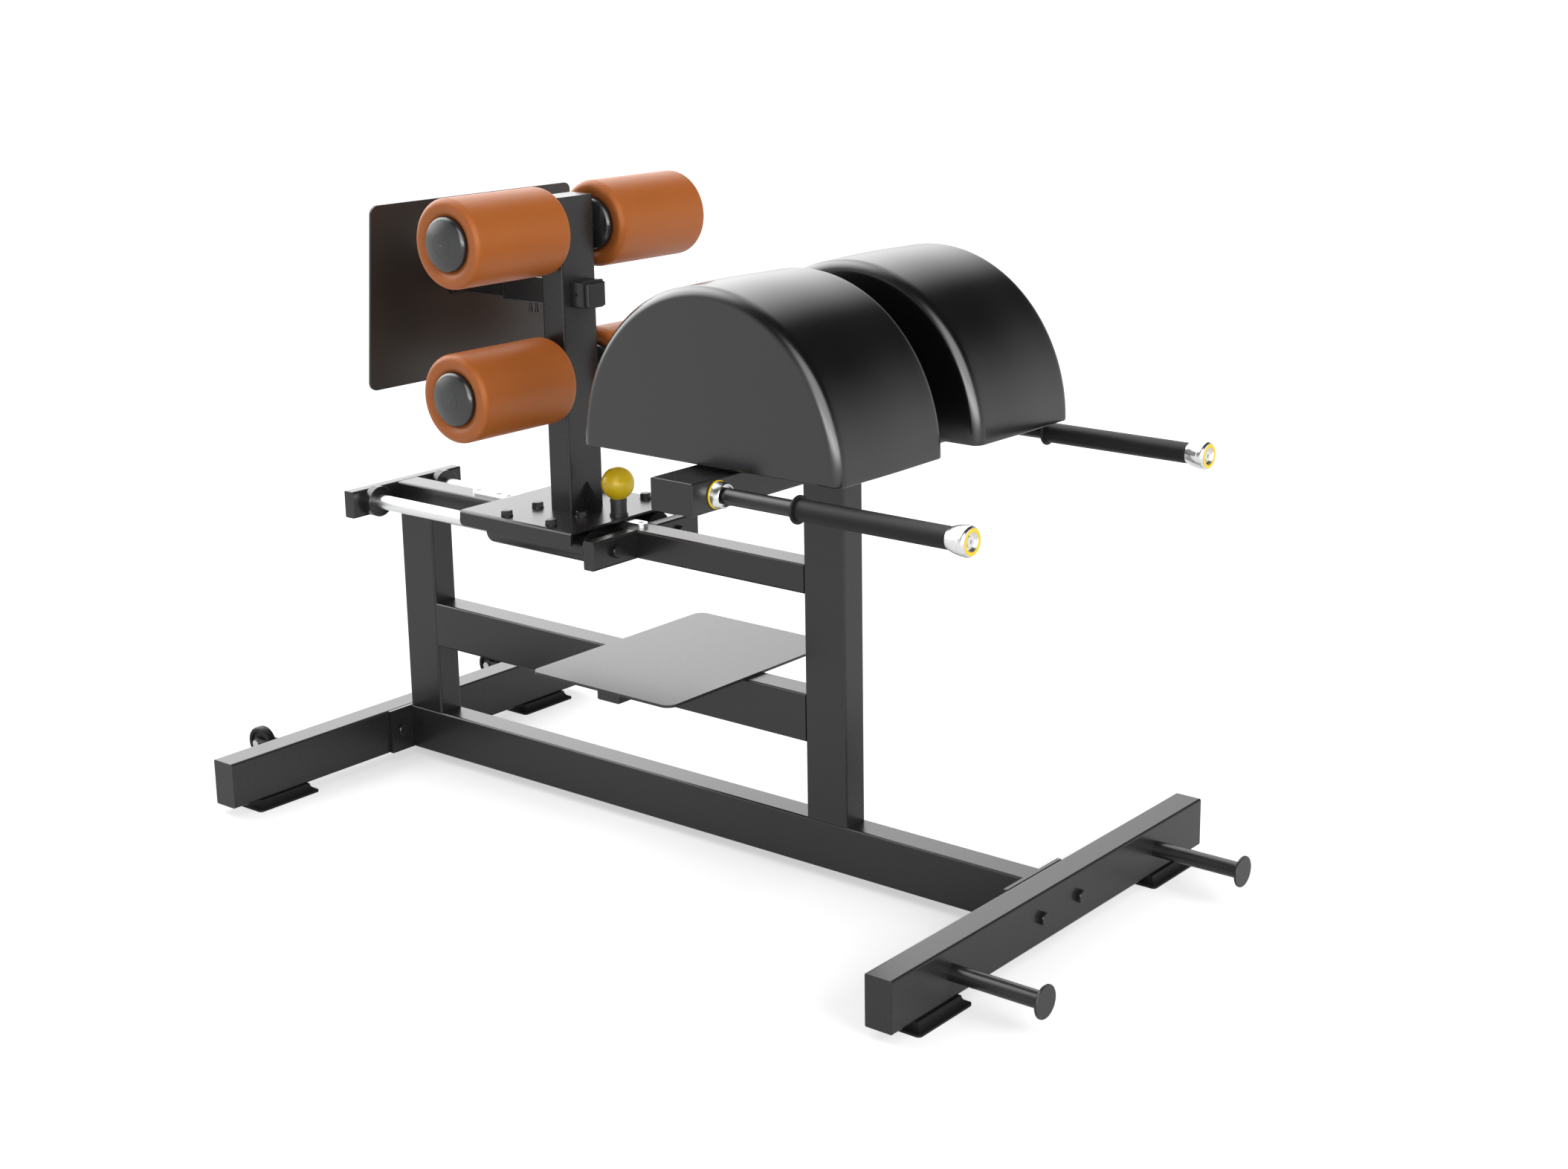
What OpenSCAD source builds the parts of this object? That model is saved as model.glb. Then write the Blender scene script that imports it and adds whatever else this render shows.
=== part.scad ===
// Glute ham developer: a long floor frame with a fixed pair of half round thigh pads and
// handles at the front post, and a carriage on two guide rods that holds four ankle rollers
// and a sliding foot plate. A sprung pin under a ball knob locks the carriage.
//
// x is measured from the rear face of the rear crossbar, towards the handles.
// y is zero at the middle of the machine, z is zero at the underside of the crossbars.

/* [Frame tubes] */
// Width of the main rectangular tube
tube_w = 60; // [50:1:70]
// Height of the main rectangular tube
tube_h = 100; // [90:1:110]
// Wall of the main tubes
tube_wall = 3; // [2.5:0.5:5]
// Outer corner radius of the tubes
tube_r = 5; // [4:0.5:7]
// Length of the base from the rear face to the front face
base_len = 1809.6; // [1700:0.1:1950]
// Length of each floor crossbar
crossbar_len = 1038.6; // [900:0.1:1200]
// Thickness of the closing plates on open tube ends
cap_t = 3; // [2:0.5:5]
// Thickness of the flanges at the ends of the base rail
flange_t = 8; // [6:1:12]
// Width of those flanges
flange_w = 184; // [160:1:220]
// Half distance between the two flange bolts of one crossbar
flange_bolt_y = 63; // [50:1:75]
// Height of the rubber feet
foot_h = 20; // [15:1:30]
// Length of each rubber foot along its crossbar
foot_len = 158; // [120:1:180]
// Width of each rubber foot
foot_w = 98; // [90:1:110]
// Thread of the bolts through the crossbars and into the guide rods
frame_bolt_d = 16; // [12:1:18]

/* [Posts and rails] */
// Rear face of the front post
front_post_x = 1226; // [1180:0.5:1280]
// Underside of the middle rail
mid_rail_z = 257.6; // [220:0.1:300]
// Underside of the upper rail
upper_rail_z = 561.4; // [540:0.1:600]
// Depth of the two beams that hold the guide rods
beam_t = 30; // [30:1:40]
// Rear face of the rear rod beam
rear_beam_x = 35.2; // [30:0.1:60]
// Rear face of the front rod beam
front_beam_x = 758.2; // [740:0.1:790]
// Half length of the rod beams
beam_half = 156; // [150:1:165]

/* [Guide rods and carriage] */
// Diameter of the guide rods
rod_d = 32; // [30:1:35]
// Half distance between the guide rods
rod_y = 96; // [92:1:100]
// Depth of the guide rods' middle below the top of the upper rail
rod_drop = 29.4; // [28:0.2:31]
// Outer diameter of the bearing housings and of the rear stop collars
housing_d = 67; // [60:1:68]
// Length of a bearing housing
housing_len = 282; // [240:1:284]
// Centre of the column, and of the carriage, as stored
carriage_x = 590.5; // [585:0.5:592]
// Running clearance on the radius of every shaft and pin that moves
run_clear = 0.05; // [0.02:0.01:0.1]
// Height of the carriage plate's top face over the upper rail
plate_rise = 14.6; // [14.2:0.2:17]
// Thickness of the carriage plate
plate_t = 5; // [4:0.5:5]
// Half width of the carriage plate
plate_half = 166; // [164:1:175]
// Rearward reach of the carriage plate from the column centre
plate_back = 178.5; // [165:0.5:190]
// Forward reach of the carriage plate from the column centre
plate_front = 144.5; // [142:0.5:150]
// Depth of the folded skirts below the top of the plate
skirt_h = 32; // [26:1:36]
// Thread of the bolts through the plate and the saddles
saddle_bolt_d = 14; // [12:1:16]

/* [Column and rollers] */
// Depth of the column tube
column_x = 60; // [56:1:64]
// Width of the column tube
column_y = 96; // [90:1:100]
// Top of the column
column_top_z = 1289; // [1280:1:1300]
// Height of the upper roller axle
upper_axle_z = 1223; // [1215:1:1226]
// Height of the lower roller axle
lower_axle_z = 918.5; // [905:0.5:925]
// Diameter of a roller over its cover
roller_d = 178; // [165:1:182]
// Inner end of each roller
roller_in_y = 70; // [68:1:74]
// Outer end of each roller
roller_out_y = 327.5; // [310:0.5:340]
// Diameter of the domed roller caps
dome_d = 109; // [100:1:116]
// Height of a dome over its rim
dome_h = 16; // [12:1:16]
// Diameter of the roller axles
axle_d = 25; // [22:1:26]

/* [Foot plate] */
// Height of the foot plate tube
foot_tube_z = 1092; // [1085:0.5:1096]
// Reach of that sleeve behind the column centre
sleeve_back = 160.5; // [140:0.5:170]
// Reach of that sleeve in front of the column centre
sleeve_front = 66.5; // [60:0.5:80]
// Outer side of the square sleeve through the column
sleeve_w = 55.4; // [54:0.2:57]
// Outer side of the square tube that slides in it
foot_tube_w = 47; // [44:1:47]
// Width of the foot plate
foot_plate_w = 560; // [500:1:600]
// Length of the foot plate
foot_plate_h = 384; // [340:1:400]
// Thickness of the foot plate
foot_plate_t = 5; // [4:0.5:8]
// Lean of the foot plate, with its top edge forward
foot_plate_lean = 5.2; // [0:0.1:8]
// Front face of the foot plate at the height of its tube
foot_plate_x = 309; // [300:1:320]

/* [Pads and handles] */
// Underside of the pad cross tube
cross_z = 817; // [800:1:840]
// Half length of the pad cross tube
cross_half = 451; // [430:1:470]
// Half length of a pad, front to back
pad_a = 305; // [280:1:320]
// Height of a pad over its flat base
pad_b = 321; // [300:1:335]
// Half of the gap between the two pads
pad_in_y = 50; // [45:1:60]
// Outer end of each pad
pad_out_y = 364; // [345:1:375]
// Radius of the rolled pad edges
pad_roll = 22; // [15:1:30]
// Rise of a pad's side panel over its rolled edge
pad_crown = 2; // [1:0.5:4]
// Thickness of the board under each pad
board_t = 9; // [9:1:12]
// Half distance between the two handles
handle_y = 388; // [370:1:400]
// Diameter of the handle tube
handle_d = 30; // [28:1:32]
// Reach of the handles in front of the cross tube
handle_reach = 552; // [500:1:580]
// Length of the rubber grips
grip_len = 325; // [280:1:340]
// Diameter of the rubber grips
grip_d = 40; // [36:1:42]

/* [Locating strip and pin] */
// Width of the locating strip
strip_w = 26; // [24:1:30]
// Thickness of the locating strip
strip_t = 8.4; // [8:0.1:9]
// Distance from one locating hole to the next
hole_pitch = 29.5; // [28:0.5:31]
// Number of locating holes
hole_count = 13; // [10:1:13]
// Diameter of the locating pin
pin_d = 12; // [10:1:12]
// Reach of the strip behind the column centre
strip_back = 310.5; // [290:0.5:320]
// Reach of the strip in front of the column centre
strip_front = 195.5; // [190:0.5:205]
// Distance of the pin in front of the column centre
pin_front = 119.5; // [117:0.5:122]
// Diameter of the ball knob
knob_d = 68.5; // [64:0.5:70]

/* [Storage, step and wheels] */
// Half distance between the storage pegs
peg_y = 345; // [320:1:380]
// Length of a storage peg with its disc
peg_len = 194.8; // [150:0.1:200]
// Diameter of a storage peg
peg_d = 32; // [25:1:40]
// Centre of the step plate
step_x = 885.5; // [860:0.5:900]
// Length of the step plate
step_l = 377; // [340:1:400]
// Width of the step plate
step_w = 512; // [480:1:540]
// Thickness of the step plate
step_t = 5.6; // [5:0.1:8]
// Diameter of the transport wheels
wheel_d = 70; // [60:1:74]
// Half distance between the transport wheels
wheel_y = 342; // [300:1:380]
// Height of the wheel centres
wheel_z = 73.4; // [66:0.2:80]
// Distance of the wheel centres behind the rear face
wheel_back = 65.4; // [60:0.2:70]

/* [Hidden] */
$fn = 64;
eps = 0.02;
crossbar_half = crossbar_len / 2;
post_l = tube_h;
rear_post_x = tube_w + flange_t;
front_bar_x = base_len - tube_w;
front_flange_x = front_bar_x - flange_t;
front_post_cx = front_post_x + post_l / 2;
rail_top_z = upper_rail_z + tube_w;
rod_z = rail_top_z - rod_drop;
plate_top_z = rail_top_z + plate_rise;
rod_x0 = rear_beam_x + beam_t;
rod_len = front_beam_x - rod_x0;
cross_h = 60;
pad_base_z = cross_z + cross_h + board_t;
handle_z = cross_z + cross_h / 2;
handle_x0 = front_post_x + tube_h;
flare_len = 42.6;
flare_x0 = handle_x0 + handle_reach - flare_len;
grip_x0 = flare_x0 - grip_len;
pin_x = carriage_x + pin_front;
strip_z = rail_top_z;
peg_x0 = base_len;
x_min = -wheel_back - wheel_d / 2;
x_max = peg_x0 + peg_len;
x_mid = (x_min + x_max) / 2;
sleeve_x0 = carriage_x - sleeve_back;
sleeve_x1 = carriage_x + sleeve_front;
step_z = mid_rail_z + tube_h;
support_h = 30;
support_half = 229;
bolt_gap = 0.4;
frame_bolt_af = 1.5 * frame_bolt_d;
saddle_bolt_af = 1.5 * saddle_bolt_d;
screw_d = 6;
bush_t = 4;
sunk = 0.5;
saddle_t = plate_top_z - plate_t - rod_z - housing_d / 2 + sunk;
liner_flange_t = 3;
stop_gap = 0.5;
stop_x = sleeve_x1 + liner_flange_t + stop_gap;
pin_collar_h = 3;
barrel_h = 36;
knob_neck = 31.7;
knob_z = plate_top_z + barrel_h + knob_neck + 0.3;

paint = [0.27, 0.27, 0.28];
dark_paint = [0.16, 0.16, 0.17];
chrome = [0.86, 0.87, 0.88];
zinc = [0.74, 0.75, 0.76];
black = [0.1, 0.1, 0.11];
leather = [0.71, 0.38, 0.19];
vinyl = [0.13, 0.13, 0.14];
yellow = [0.93, 0.76, 0.05];

// The whole machine stands on z = 0, centred over its footprint.
module place() {
  translate([-x_mid, 0, foot_h]) children();
}

// Flat rectangle with round corners, centred.
module round_rect(w, h, r) {
  square([w - 2 * r, h], center = true);
  square([w, h - 2 * r], center = true);
  for (sx = [-1, 1], sy = [-1, 1]) {
    translate([sx * (w / 2 - r), sy * (h / 2 - r)]) circle(r);
  }
}

// Outline of a tube wall.
module tube_section(w, h, r, t) {
  difference() {
    round_rect(w, h, r);
    round_rect(w - 2 * t, h - 2 * t, max(r - t, 0.8));
  }
}

// Tube along x: starts at x = 0, w across y and h up.
module tube_x(len, w, h, r = tube_r, t = tube_wall) {
  rotate([90, 0, 90]) linear_extrude(len) tube_section(w, h, r, t);
}

// Tube along y, centred, w across x and h up.
module tube_y(len, w, h, r = tube_r, t = tube_wall) {
  rotate([90, 0, 0]) linear_extrude(len, center = true) tube_section(w, h, r, t);
}

// Tube along z: starts at z = 0, w across x and d across y.
module tube_z(len, w, d, r = tube_r, t = tube_wall) {
  linear_extrude(len) tube_section(w, d, r, t);
}

// Round bar from the origin along x.
module bar_x(len, d) {
  rotate([0, 90, 0]) cylinder(h = len, d = d);
}

// Ring from the origin along x.
module ring_x(len, d_out, d_in) {
  rotate([0, 90, 0]) difference() {
    cylinder(h = len, d = d_out);
    translate([0, 0, -1]) cylinder(h = len + 2, d = d_in);
  }
}

// Hexagon prism from the origin along z, sized across its flats.
module hex_z(af, h) {
  cylinder(h = h, d = af / cos(30), $fn = 6);
}

// Hexagon head from the origin along z, with its upper corners turned off.
module hex_head(af, h) {
  r = af / cos(30) / 2 + 0.1;
  intersection() {
    hex_z(af, h);
    rotate_extrude() polygon([[0, -1], [r, -1], [r, h - 0.18 * af / 2], [af * 0.46, h], [0, h]]);
  }
}

// Bolt pointing down from its seat at z = 0: head above, shank below.
module bolt_z(af, head_h, shank_d, len) {
  hex_head(af, head_h);
  translate([0, 0, -len]) cylinder(h = len + sunk, d = shank_d);
}

// Copies of the children at plus and minus y.
module both_sides(y) {
  for (s = [-1, 1]) translate([0, s * y, 0]) children();
}

// The two floor crossbars with their bolt holes.
module crossbar(x0) {
  difference() {
    translate([x0 + tube_w / 2, 0, tube_h / 2]) tube_y(crossbar_len - 2 * cap_t, tube_w, tube_h);
    both_sides(flange_bolt_y)
      translate([x0 - 1, 0, tube_h / 2]) bar_x(tube_w + 2, frame_bolt_d + bolt_gap);
    for (s = [-1, 1], k = foot_screw_y)
      translate([x0 + tube_w / 2, s * (foot_y + k), -1]) cylinder(h = 8, d = screw_d + bolt_gap);
  }
}

module rear_crossbar() {
  color(paint) place() crossbar(0);
}

module front_crossbar() {
  color(paint) place() crossbar(front_bar_x);
}

// Bar along y, w across, from z = 0 to the thickness of a closing plate, with bevelled upper edges.
module bevel_bar(w, len) {
  b = 0.8;
  rotate([90, 0, 0]) linear_extrude(len, center = true)
    polygon([[-w / 2, 0], [w / 2, 0], [w / 2, cap_t - b], [w / 2 - b, cap_t], [b - w / 2, cap_t],
             [-w / 2, cap_t - b]]);
}

// Closing plate on z = 0, w across x and d across y.
module cap_plate(w, d) {
  intersection() {
    linear_extrude(cap_t) round_rect(w, d, tube_r);
    bevel_bar(w, d + 2);
    rotate([0, 0, 90]) bevel_bar(d, w + 2);
  }
}

// Closing plates of the crossbars, rod beams, pad tube and step supports.
module end_cap_y(x, y, z, w, h) {
  s = y > 0 ? 1 : -1;
  translate([x, y - s * cap_t / 2, z]) rotate([-s * 90, 0, 0]) cap_plate(w, h);
}

module tube_end_caps() {
  color(dark_paint) place() for (s = [-1, 1]) {
    for (x0 = [0, front_bar_x]) {
      end_cap_y(x0 + tube_w / 2, s * (crossbar_half - cap_t / 2), tube_h / 2, tube_w, tube_h);
    }
    for (x0 = [rear_beam_x, front_beam_x]) {
      end_cap_y(x0 + beam_t / 2, s * (beam_half - cap_t / 2), rail_top_z - tube_w / 2, beam_t, tube_w);
    }
    end_cap_y(front_post_cx, s * (cross_half - cap_t / 2), handle_z, tube_h, cross_h);
    end_cap_y(step_x, s * (support_half - cap_t / 2), step_z - support_h / 2, tube_w, support_h);
  }
}

// Rubber feet with hollow flanks and a recess for their screws.
foot_x = [tube_w / 2, base_len - tube_w / 2];
foot_y = 389;
foot_screw_y = [-40, 40];

// Bar along y with hollow flanks over a straight lip.
module foot_flanks(w, len) {
  lip = 4.5;
  rotate([90, 0, 0]) linear_extrude(len, center = true) difference() {
    translate([-w / 2, -foot_h]) square([w, foot_h]);
    for (s = [-1, 1]) translate([s * (w / 2 + 1.5), 1]) circle(foot_h - lip + 1);
  }
}

module foot_block() {
  difference() {
    intersection() {
      translate([0, 0, -foot_h]) linear_extrude(foot_h) round_rect(foot_w, foot_len, 8);
      foot_flanks(foot_w, foot_len + 2);
      rotate([0, 0, 90]) foot_flanks(foot_len, foot_w + 2);
    }
    for (k = foot_screw_y) translate([0, k, -foot_h - 1]) {
      cylinder(h = foot_h - 7, d = 16);
      cylinder(h = foot_h + 2, d = screw_d + bolt_gap);
    }
  }
}

module feet() {
  color(black) place() for (x = foot_x, s = [-1, 1]) translate([x, s * foot_y, 0]) foot_block();
}

// Pan screws of the feet and of the step plate, both from below.
module pan_screw(head_d, head_h, d, len) {
  cylinder(h = head_h, d = head_d);
  translate([0, 0, -len]) cylinder(h = len + sunk, d = d);
}

module frame_screws() {
  color(zinc) place() {
    for (x = foot_x, s = [-1, 1], k = foot_screw_y) {
      translate([x, s * (foot_y + k), -8]) mirror([0, 0, 1]) pan_screw(12, 3.5, screw_d, 14);
    }
    for (x = step_screw_x, s = [-1, 1]) translate([x, s * step_screw_y, step_z - support_h])
      mirror([0, 0, 1]) pan_screw(13, 2.6, screw_d, support_h + step_thread - sunk);
  }
}

// Base rail and the flanges welded to its ends.
module base_rail() {
  color(paint) place() translate([rear_post_x, 0, tube_h / 2])
    tube_x(front_flange_x - rear_post_x, tube_w, tube_h);
}

module rail_flanges() {
  color(paint) place() for (x0 = [tube_w, front_flange_x]) difference() {
    translate([x0, 0, tube_h / 2]) rotate([90, 0, 90])
      linear_extrude(flange_t) round_rect(flange_w, tube_h, 2);
    both_sides(flange_bolt_y)
      translate([x0 - 1, 0, tube_h / 2]) bar_x(flange_t + 2, frame_bolt_d + bolt_gap);
  }
}

// Through bolts of the crossbars with nuts, end bolts of the guide rods, and the sunk screws of the strip.
module bolt_x(x, y, z, dir, grip, nut_h) {
  tail = nut_h > 0 ? nut_h + 6 : 0;
  translate([x, y, z]) rotate([0, dir * 90, 0]) {
    bolt_z(frame_bolt_af, 10, frame_bolt_d, grip + tail);
    if (nut_h > 0) translate([0, 0, -grip - nut_h]) hex_z(frame_bolt_af, nut_h);
  }
}

module frame_bolts() {
  color(black) place() {
    for (s = [-1, 1]) {
      bolt_x(rear_post_x, s * flange_bolt_y, tube_h / 2, 1, rear_post_x, 13);
      bolt_x(base_len, s * flange_bolt_y, tube_h / 2, 1, tube_w + flange_t, 13);
      bolt_x(rear_beam_x, s * rod_y, rod_z, -1, beam_t + rod_thread, 0);
      bolt_x(front_beam_x + beam_t, s * rod_y, rod_z, 1, beam_t + rod_thread, 0);
    }
    for (x = strip_screw_x) translate([x, 0, strip_z + strip_t - strip_sink])
      pan_screw(12, 3, screw_d, strip_t - strip_sink + 8);
  }
}

module rear_post() {
  color(paint) place() translate([rear_post_x + post_l / 2, 0, tube_h])
    tube_z(upper_rail_z - tube_h, post_l, tube_w);
}

module front_post() {
  color(paint) place() translate([front_post_cx, 0, tube_h])
    tube_z(cross_z - tube_h, post_l, tube_w);
}

module mid_rail() {
  x0 = rear_post_x + post_l;
  color(paint) place() translate([x0, 0, mid_rail_z + tube_h / 2])
    tube_x(front_post_x - x0, tube_w, tube_h);
}

module upper_rail() {
  color(paint) place() difference() {
    translate([rod_x0, 0, rail_top_z - tube_w / 2]) tube_x(front_post_x - rod_x0, tube_w, tube_w);
    for (x = strip_screw_x) translate([x, 0, rail_top_z - 4]) cylinder(h = 8, d = screw_d + bolt_gap);
  }
}

// The beams that carry the guide rods: one piece behind, two stubs at the front.
module rear_rod_beam() {
  color(paint) place() difference() {
    translate([rear_beam_x + beam_t / 2, 0, rail_top_z - tube_w / 2])
      tube_y(2 * (beam_half - cap_t), beam_t, tube_w);
    both_sides(rod_y) translate([rear_beam_x - 1, 0, rod_z]) bar_x(beam_t + 2, frame_bolt_d + bolt_gap);
  }
}

module front_rod_beams() {
  stub = beam_half - cap_t - tube_w / 2;
  color(paint) place() difference() {
    both_sides(tube_w / 2 + stub / 2)
      translate([front_beam_x + beam_t / 2, 0, rail_top_z - tube_w / 2]) tube_y(stub, beam_t, tube_w);
    both_sides(rod_y) translate([front_beam_x - 1, 0, rod_z]) bar_x(beam_t + 2, frame_bolt_d + bolt_gap);
  }
}

// Bright guide rods with a threaded hole in each end.
rod_thread = 24;

module guide_rods() {
  deep = rod_thread + 6;
  color(chrome) place() both_sides(rod_y) translate([rod_x0, 0, rod_z]) difference() {
    bar_x(rod_len, rod_d);
    translate([-1, 0, 0]) bar_x(deep + 1, frame_bolt_d + bolt_gap / 2);
    translate([rod_len - deep, 0, 0]) bar_x(deep + 1, frame_bolt_d + bolt_gap / 2);
  }
}

// Stop collars around the rear ends of the rods.
module rod_collars() {
  len = 20;
  r = housing_d / 2;
  bore = rod_d / 2 + 0.2;
  color(paint) place() both_sides(rod_y) translate([rod_x0, 0, rod_z]) rotate([0, 90, 0])
    rotate_extrude() polygon([[bore, 0], [r, 0], [r, len - 1.2], [r - 1.2, len], [bore, len]]);
}

// Locating strip on the upper rail, with round ends.
strip_x0 = carriage_x - strip_back;
strip_x1 = carriage_x + strip_front;
strip_screw_x = [strip_x0 + 13.5, strip_x1 - 14];
strip_sink = 5.2;

module locating_strip() {
  mid = (strip_x0 + strip_x1) / 2;
  color(chrome) place() difference() {
    translate([mid, 0, strip_z]) linear_extrude(strip_t) {
      square([strip_x1 - strip_x0 - strip_w, strip_w], center = true);
      for (s = [-1, 1]) translate([s * (strip_x1 - strip_x0 - strip_w) / 2, 0]) circle(d = strip_w);
    }
    for (i = [0 : hole_count - 1]) {
      translate([pin_x - i * hole_pitch, 0, strip_z - 1]) cylinder(h = strip_t + 2, d = pin_d + 0.5);
    }
    for (x = strip_screw_x) {
      translate([x, 0, strip_z - 1]) cylinder(h = strip_t + 2, d = screw_d + bolt_gap);
      translate([x, 0, strip_z + strip_t - strip_sink]) cylinder(h = strip_sink + 1, d = 12 + bolt_gap);
    }
  }
}

// Storage pegs for plates or bands on the front crossbar.
module storage_pegs() {
  r = 31;
  t = 5;
  color(paint) place() both_sides(peg_y) translate([peg_x0, 0, tube_h / 2]) rotate([0, 90, 0]) {
    cylinder(h = peg_len - t + sunk, d = peg_d);
    translate([0, 0, peg_len - t]) rotate_extrude()
      polygon([[0, 0], [r - 1, 0], [r, 1], [r, t - 1], [r - 1, t], [0, t]]);
  }
}

// Step plate on the middle rail and its two support stubs.
step_screw_x = [step_x - 14, step_x + 14];
step_screw_y = 200;
step_thread = 4;

module step_plate() {
  color(paint) place() difference() {
    translate([step_x, 0, step_z]) linear_extrude(step_t) round_rect(step_l, step_w, 22);
    for (x = step_screw_x, s = [-1, 1]) {
      translate([x, s * step_screw_y, step_z - 1]) cylinder(h = step_thread + 1, d = screw_d + bolt_gap / 2);
    }
  }
}

module step_supports() {
  stub = support_half - cap_t - tube_w / 2;
  color(paint) place() difference() {
    both_sides(tube_w / 2 + stub / 2)
      translate([step_x, 0, step_z - support_h / 2]) tube_y(stub, tube_w, support_h, 4);
    for (x = step_screw_x, s = [-1, 1]) translate([x, s * step_screw_y, step_z - support_h - 1])
      cylinder(h = support_h + 2, d = screw_d + bolt_gap);
  }
}

// Cross tube on the front post that carries pads and handles.
module pad_cross_tube() {
  color(paint) place() difference() {
    translate([front_post_cx, 0, handle_z]) tube_y(2 * (cross_half - cap_t), tube_h, cross_h);
    both_sides(handle_y) translate([handle_x0 - 10, 0, handle_z]) bar_x(12, handle_d + 0.2);
    for (p = pad_bolt_xy) translate([p[0], p[1], cross_z - 1])
      cylinder(h = cross_h + 2, d = pad_bolt_d + bolt_gap);
  }
}

// Boards under the pads and the long bolts that hold them down.
board_x = 150;
board_w = 240;
board_corner = 12;
pad_bolt_in = 120;
pad_bolt_out = 300;
pad_bolt_d = 10;
pad_bolt_af = 17;
pad_bolt_head = 6.5;
pad_bolt_xy = [for (s = [-1, 1], y = [pad_bolt_in, pad_bolt_out]) [front_post_cx, s * y]];

module pad_boards() {
  color(black) place() difference() {
    for (s = [-1, 1]) translate([front_post_cx, s * (pad_in_y + pad_out_y) / 2, cross_z + cross_h])
      linear_extrude(board_t) round_rect(2 * board_x, board_w, board_corner);
    for (p = pad_bolt_xy) translate([p[0], p[1], cross_z + 1])
      cylinder(h = cross_h + board_t, d = pad_bolt_d + bolt_gap);
  }
}

module pad_bolts() {
  color(black) place() for (p = pad_bolt_xy) {
    translate([p[0], p[1], cross_z]) mirror([0, 0, 1])
      bolt_z(pad_bolt_af, pad_bolt_head, pad_bolt_d, cross_h + board_t - 1);
  }
}

// Half round pad: D outlines from end to end, with rolled edges and a flat foot, drawn in beside the
// rolls, with a slight crown on the side panels.
pad_corner = 3;
pad_half = (pad_out_y - pad_in_y) / 2;

function pad_outline(inset) = let (a = pad_a - inset, b = pad_b - inset, c = pad_corner)
  concat([for (t = [-90, -45]) [a - c + c * cos(t), c + c * sin(t)]],
         [for (t = [0 : 5 : 180]) [a * cos(t), c + (b - c) * sin(t)]],
         [for (t = [225, 270]) [-a + c + c * cos(t), c + c * sin(t)]]);

// Each step is the distance in from the end of the pad and the inset of the outline there.
pad_end = concat([[0.2 * pad_crown, 150], [0.6 * pad_crown, 80]],
                 [for (t = [90 : -15 : 0]) [pad_crown + pad_roll * (1 - sin(t)), pad_roll * (1 - cos(t))]],
                 [[pad_crown + pad_roll + 4, 0.5]]);
pad_steps = concat([for (p = pad_end) [p[0] - pad_half, p[1]]], [[0, -2]],
                   [for (i = [len(pad_end) - 1 : -1 : 0]) [pad_half - pad_end[i][0], pad_end[i][1]]]);

// Closed skin over rings of points, with one point more at each end.
module skin(rings, first, last) {
  n = len(rings[0]);
  m = len(rings);
  points = concat([first], [for (r = rings, p = r) p], [last]);
  quads = [for (j = [0 : m - 2], i = [0 : n - 1]) let (k = (i + 1) % n, q = 1 + j * n)
           each [[q + i, q + k, q + n + k], [q + i, q + n + k, q + n + i]]];
  caps = [for (i = [0 : n - 1]) let (k = (i + 1) % n)
          each [[0, 1 + k, 1 + i], [m * n + 1, 1 + (m - 1) * n + i, 1 + (m - 1) * n + k]]];
  polyhedron(points, concat(quads, caps));
}

module pad(s) {
  rings = [for (p = pad_steps) [for (o = pad_outline(p[1])) [o[0], p[0], o[1]]]];
  color(vinyl) place() translate([front_post_cx, s * (pad_in_y + pad_half), pad_base_z])
    skin(rings, [0, -pad_half, pad_b * 0.42], [0, pad_half, pad_b * 0.42]);
}

module pad_near() {
  pad(-1);
}

module pad_far() {
  pad(1);
}

// Handles: tube, aluminium sleeve, yellow ring, rubber grip and flared end.
module handle_bars() {
  color(black) place() both_sides(handle_y)
    translate([handle_x0 - 3, 0, handle_z]) ring_x(handle_reach - 20, handle_d, handle_d - 5);
}

ring_t = 4;
root_ring_r = 26;
face_ring_t = 1.6;
seat_z = 40.9;
seat_in = 16.9;
seat_out = 23.3;

module yellow_rings() {
  inner = handle_d / 2 + 0.05;
  color(yellow) place() both_sides(handle_y) translate([0, 0, handle_z]) {
    translate([handle_x0, 0, 0]) rotate([0, 90, 0]) rotate_extrude()
      translate([(inner + root_ring_r) / 2, ring_t / 2]) round_rect(root_ring_r - inner, ring_t, 1.4);
    translate([flare_x0 + seat_z, 0, 0]) ring_x(face_ring_t, 2 * seat_out - 0.2, 2 * seat_in + 0.2);
  }
}

// Outline of the flared end from the grip to its front face.
module flare_outline() {
  edge = 6.6;
  wide = 27;
  back = flare_len - edge;
  slim = grip_d / 2;
  bow = (back * back + (wide - slim) * (wide - slim)) / (2 * (wide - slim));
  intersection() {
    translate([wide - bow, back]) circle(bow, $fn = 256);
    square([wide, back]);
  }
  translate([wide - edge, back]) circle(edge);
  translate([0, back]) square([wide - edge, edge]);
}

module flared_end() {
  bore = handle_d / 2 + 0.05;
  bowl_z = flare_len - 5;
  rotate_extrude() difference() {
    flare_outline();
    translate([-1, -1]) square([bore + 1, flare_len - 11]);
    translate([seat_in, seat_z]) square([seat_out - seat_in, 4]);
    translate([10, bowl_z]) square([seat_in - 9.9, 8]);
    translate([-1, bowl_z + 2]) square([12, 8]);
    translate([-1, bowl_z - 3]) square([4.2, 8]);
    translate([26.2, flare_len - 14.6]) square([2, 0.7]);
  }
}

module handle_fittings() {
  bore = handle_d / 2 + 0.05;
  root = [[bore, 0], [24.5, 0], [22.6, 16], [21.4, 18], [20, 18], [19.2, 11], [bore, 11]];
  color(zinc) place() both_sides(handle_y) translate([0, 0, handle_z]) {
    translate([handle_x0 + ring_t, 0, 0]) rotate([0, 90, 0]) rotate_extrude() polygon(root);
    translate([flare_x0, 0, 0]) rotate([0, 90, 0]) flared_end();
  }
}

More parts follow.
